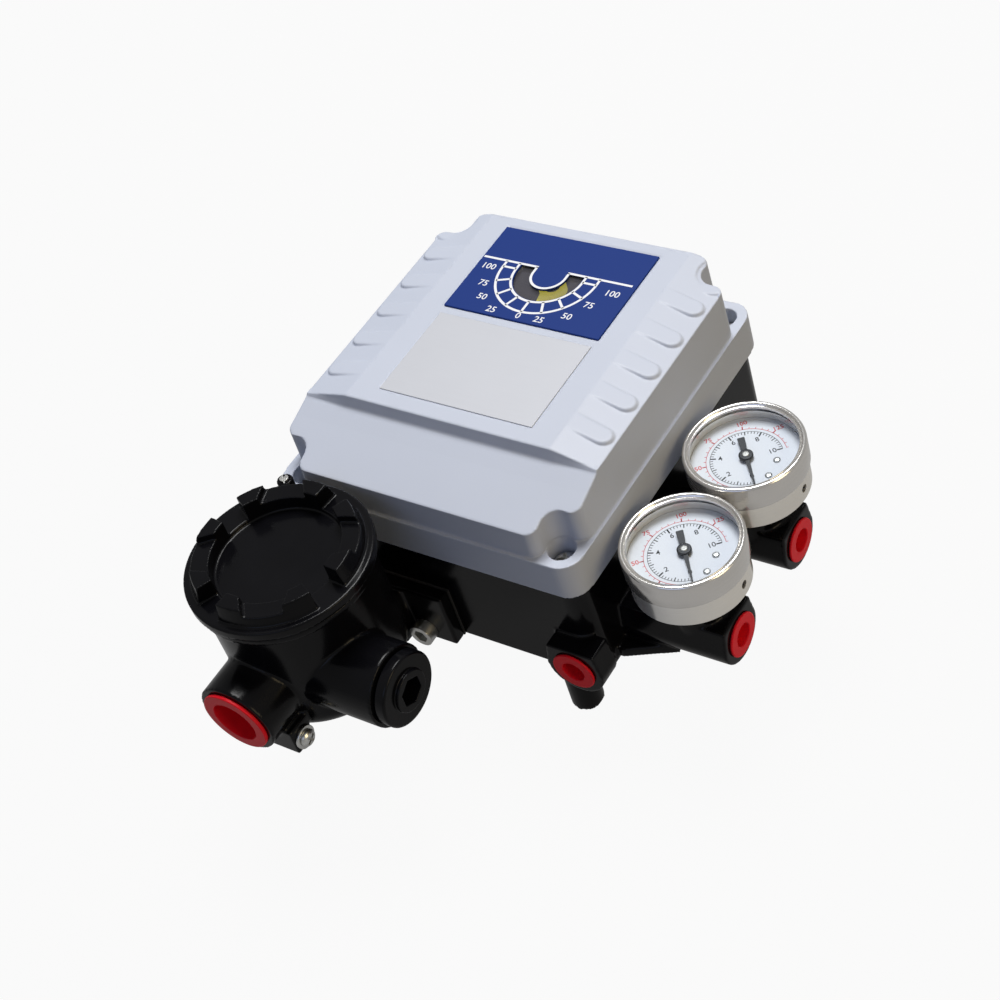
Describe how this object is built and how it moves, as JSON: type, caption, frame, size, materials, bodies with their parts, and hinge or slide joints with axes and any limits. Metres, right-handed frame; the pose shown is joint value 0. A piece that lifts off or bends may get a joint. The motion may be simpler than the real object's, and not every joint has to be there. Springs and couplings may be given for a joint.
{
  "type": "valve positioner",
  "caption": "Rotary electro-pneumatic valve positioner: cast base on mounting posts, grey cover with dial window, pressure gauges, round terminal box, cam feedback shaft.",
  "frame": {"origin": "centre of the four mounting holes, in the plane of the mounting posts' ends", "axes": "+Z out of the cover, +X to the gauges, +Y to the dial end; the terminal box is on the -Y side"},
  "size_m": [0.169, 0.2105, 0.1076],
  "materials": {
    "black_casting": "semi-gloss black powder coat on cast aluminium",
    "cover_paint": "light blue-grey satin paint on cast aluminium",
    "rubber": "matt black rubber",
    "stainless": "plain stainless steel",
    "bronze": "turned brass",
    "dial_print": "printed deep blue plate",
    "label_metal": "bare brushed silver plate",
    "clear_lens": "clear",
    "yellow_pointer": "yellow moulding",
    "red_plastic": "soft red polyethylene",
    "terminal_plastic": "ivory moulding",
    "motor_iron": "blackened iron",
    "copper_coil": "varnished copper winding",
    "valve_aluminium": "machined aluminium",
    "gauge_steel": "polished stainless steel",
    "white_dial": "white printed dial",
    "black_pointer": "matt black"
  },
  "bodies": {
    "housing": {"base_casting": "black_casting", "shaft_bush": "bronze", "cover_gasket": "rubber", "main_cover": "cover_paint", "cover_screws": "stainless", "window_lens": "clear_lens", "dial_plate": "dial_print", "name_plate": "label_metal", "supply_plug": "red_plastic", "output_plugs": "red_plastic", "conduit_plug": "red_plastic", "blanking_plug": "black_casting", "terminal_box": "black_casting", "terminal_box_gasket": "rubber", "terminal_box_screws": "stainless", "cap_o_ring": "rubber", "terminal_block": "terminal_plastic", "terminal_screws": "bronze", "earth_screw": "stainless", "front_gauge_case": "gauge_steel", "front_gauge_bezel": "gauge_steel", "front_gauge_lens": "clear_lens", "front_gauge_dial": "white_dial", "front_gauge_socket": "bronze", "front_gauge_tube": "bronze", "front_gauge_movement": "bronze", "rear_gauge_case": "gauge_steel", "rear_gauge_bezel": "gauge_steel", "rear_gauge_lens": "clear_lens", "rear_gauge_dial": "white_dial", "rear_gauge_socket": "bronze", "rear_gauge_tube": "bronze", "rear_gauge_movement": "bronze", "follower_pivot": "stainless", "beam_pivot": "stainless", "motor_yoke": "motor_iron", "motor_magnets": "motor_iron", "motor_coil": "copper_coil", "pilot_block": "valve_aluminium", "pilot_cap": "valve_aluminium", "nozzle_block": "bronze"},
    "shaft_group": {"main_shaft": "stainless", "shaft_lever": "stainless", "lever_nut": "stainless", "lever_pin": "stainless", "shaft_circlip": "stainless", "feedback_cam": "stainless", "cam_nut": "stainless", "indicator": "yellow_pointer"},
    "follower": {"follower_arm": "bronze"},
    "roller": {"follower_roller": "stainless"},
    "beam": {"balance_beam": "stainless", "feedback_spring": "stainless"},
    "spool": {"pilot_spool": "stainless"},
    "front_pointer": {"front_gauge_pointer": "black_pointer"},
    "rear_pointer": {"rear_gauge_pointer": "black_pointer"},
    "zero_wheel": {"zero_knob": "bronze"},
    "span_wheel": {"span_knob": "bronze"},
    "manual_screw": {"auto_manual_screw": "bronze"},
    "cap": {"terminal_cap": "black_casting"}
  },
  "joints": [
    {"name": "shaft_turn", "type": "hinge", "parent": "housing", "child": "shaft_group", "pos_m": [-0.002, 0.038, 0.03], "axis": [0, 0, 1], "range_deg": [0, 90]},
    {"name": "follower_swing", "type": "hinge", "parent": "housing", "child": "follower", "pos_m": [0.03, 0.006, 0.063], "axis": [0, 0, 1], "range_deg": [0, 16.2], "deforming": ["feedback_spring"]},
    {"name": "roller_spin", "type": "hinge", "parent": "follower", "child": "roller", "pos_m": [0.00227, 0.0099, 0.0595], "axis": [0, 0, 1], "continuous": true},
    {"name": "beam_tilt", "type": "hinge", "parent": "housing", "child": "beam", "pos_m": [-0.008, -0.014, 0.062], "axis": [0, 0, 1], "range_deg": [-0.6, 1.5]},
    {"name": "spool_slide", "type": "slide", "parent": "housing", "child": "spool", "axis": [1, 0, 0], "range_m": [-0.0008, 0.0008]},
    {"name": "front_pointer_turn", "type": "hinge", "parent": "housing", "child": "front_pointer", "pos_m": [0.086, -0.0369, 0.073], "axis": [0, 0, 1], "range_deg": [-270, 0]},
    {"name": "rear_pointer_turn", "type": "hinge", "parent": "housing", "child": "rear_pointer", "pos_m": [0.086, 0.0073, 0.073], "axis": [0, 0, 1], "range_deg": [-270, 0]},
    {"name": "zero_turn", "type": "hinge", "parent": "housing", "child": "zero_wheel", "pos_m": [-0.03, 0.018, 0.048], "axis": [0, 0, 1], "continuous": true},
    {"name": "span_turn", "type": "hinge", "parent": "housing", "child": "span_wheel", "pos_m": [0.042, 0.034, 0.048], "axis": [0, 0, 1], "continuous": true},
    {"name": "manual_turn", "type": "hinge", "parent": "housing", "child": "manual_screw", "pos_m": [0.042, -0.029, 0.054], "axis": [0, 0, 1], "range_deg": [0, 270]},
    {"name": "cap_turn", "type": "hinge", "parent": "housing", "child": "cap", "pos_m": [-0.0281, -0.1007, 0.094], "axis": [0, 0, 1], "continuous": true}
  ],
  "couplings": [
    {"joint": "follower_swing", "follows": "shaft_turn", "ratio": 0.18}
  ]
}
